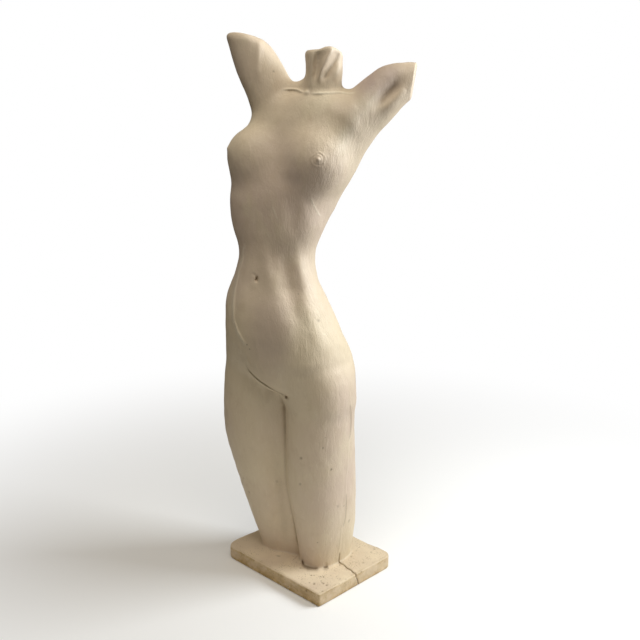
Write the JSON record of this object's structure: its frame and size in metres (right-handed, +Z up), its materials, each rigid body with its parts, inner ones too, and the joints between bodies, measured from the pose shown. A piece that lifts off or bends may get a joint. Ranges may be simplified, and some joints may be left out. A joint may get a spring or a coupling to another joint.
{
  "type": "female torso sculpture",
  "caption": "Life-size standing female torso, broken at the neck and cut at both upper arms and below the knees, cast in one piece with a thin rounded slab plinth.",
  "frame": {"origin": "middle of the plinth's underside, on the floor", "axes": "+Z up, the figure's front towards -Y, her left side towards +X, square to the plinth's sides"},
  "size_m": [0.3949, 0.3337, 1.2408],
  "materials": {
    "painted_plaster": "matte"
  },
  "bodies": {
    "root": {"torso_with_plinth": "painted_plaster"}
  },
  "joints": []
}
